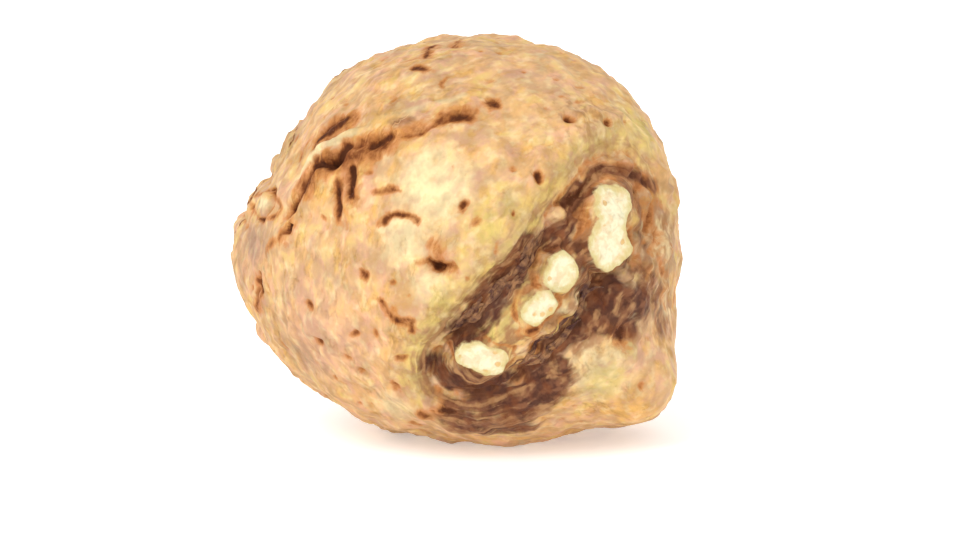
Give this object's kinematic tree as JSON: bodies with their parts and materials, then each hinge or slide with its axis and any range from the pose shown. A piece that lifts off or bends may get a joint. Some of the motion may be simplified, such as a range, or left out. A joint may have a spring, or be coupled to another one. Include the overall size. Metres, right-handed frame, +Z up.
{
  "type": "celeriac",
  "caption": "Celeriac root lying on its side: knobbly globe with folds and pits, cut leaf stalks in a ringed crown, and trimmed root stubs behind.",
  "frame": {"origin": "middle of the footprint on the surface it rests on", "axes": "+Z up; -Y towards the side that shows the crown and the folds; +X to the right of that side, towards the crown"},
  "size_m": [0.128, 0.1234, 0.1143],
  "materials": {
    "skin": "dull natural root skin, tan with brown crevices, green shoulder and cream knife cuts"
  },
  "bodies": {
    "root": {"celeriac": "skin"}
  },
  "joints": []
}
